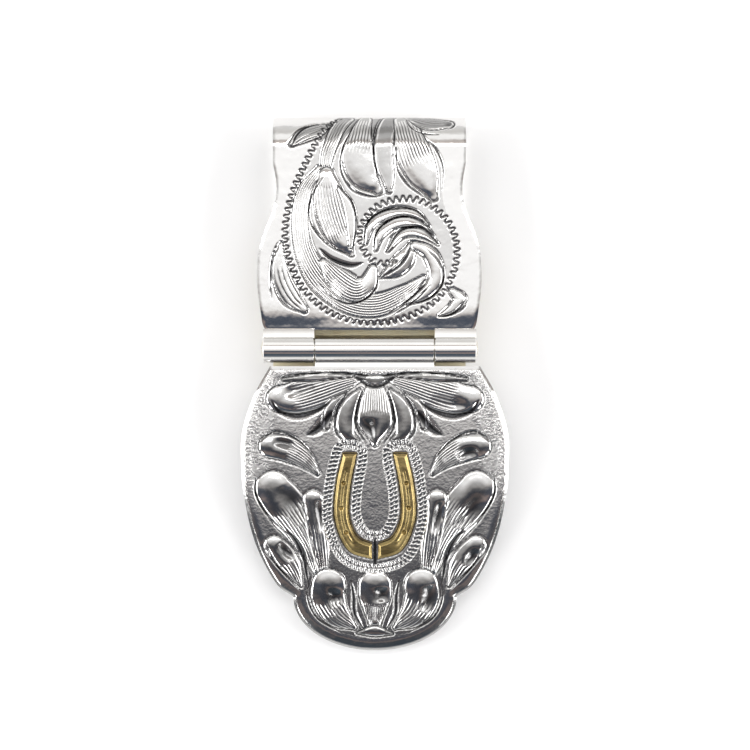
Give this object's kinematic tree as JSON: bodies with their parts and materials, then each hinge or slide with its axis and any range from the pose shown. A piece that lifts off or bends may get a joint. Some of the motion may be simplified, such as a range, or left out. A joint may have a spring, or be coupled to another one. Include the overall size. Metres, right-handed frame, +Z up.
{
  "type": "hinged money clip",
  "caption": "Engraved silver money clip: a strip rolled over at the top, with a barrel hinge and a bowed lower flap that snaps shut on folded notes.",
  "frame": {"origin": "middle of the footprint, on the surface the clip lies on with its back down", "axes": "+Z up out of the engraved face, +Y towards the rolled top, +X across the width"},
  "size_m": [0.029, 0.0578, 0.0074],
  "materials": {
    "engraved_silver": "bright-cut engraved, polished, with toned cuts",
    "polished_silver": "polished",
    "nickel_silver": "drawn wire, peened ends",
    "spring_bronze": "rolled spring strip",
    "brass": "bevelled and buffed"
  },
  "bodies": {
    "back": {"back_plate": "polished_silver"},
    "front": {"front_panel": "engraved_silver", "left_knuckle": "polished_silver", "right_knuckle": "polished_silver", "hinge_pin": "nickel_silver", "leaf_spring": "spring_bronze", "spring_studs": "nickel_silver"},
    "flap": {"flap_plate": "engraved_silver", "middle_knuckle": "polished_silver", "horseshoe_left": "brass", "horseshoe_right": "brass"}
  },
  "joints": [
    {"name": "jaw_flex", "type": "hinge", "parent": "back", "child": "front", "pos_m": [0, 0.0289, 0.0034], "axis": [-1, 0, 0], "range_deg": [0, 6], "stiffness_Nm_per_rad": 2.5},
    {"name": "flap_hinge", "type": "hinge", "parent": "front", "child": "flap", "pos_m": [0, 0.0038, 0.0059], "axis": [-1, 0, 0], "range_deg": [0, 110], "deforming": ["leaf_spring"]}
  ]
}
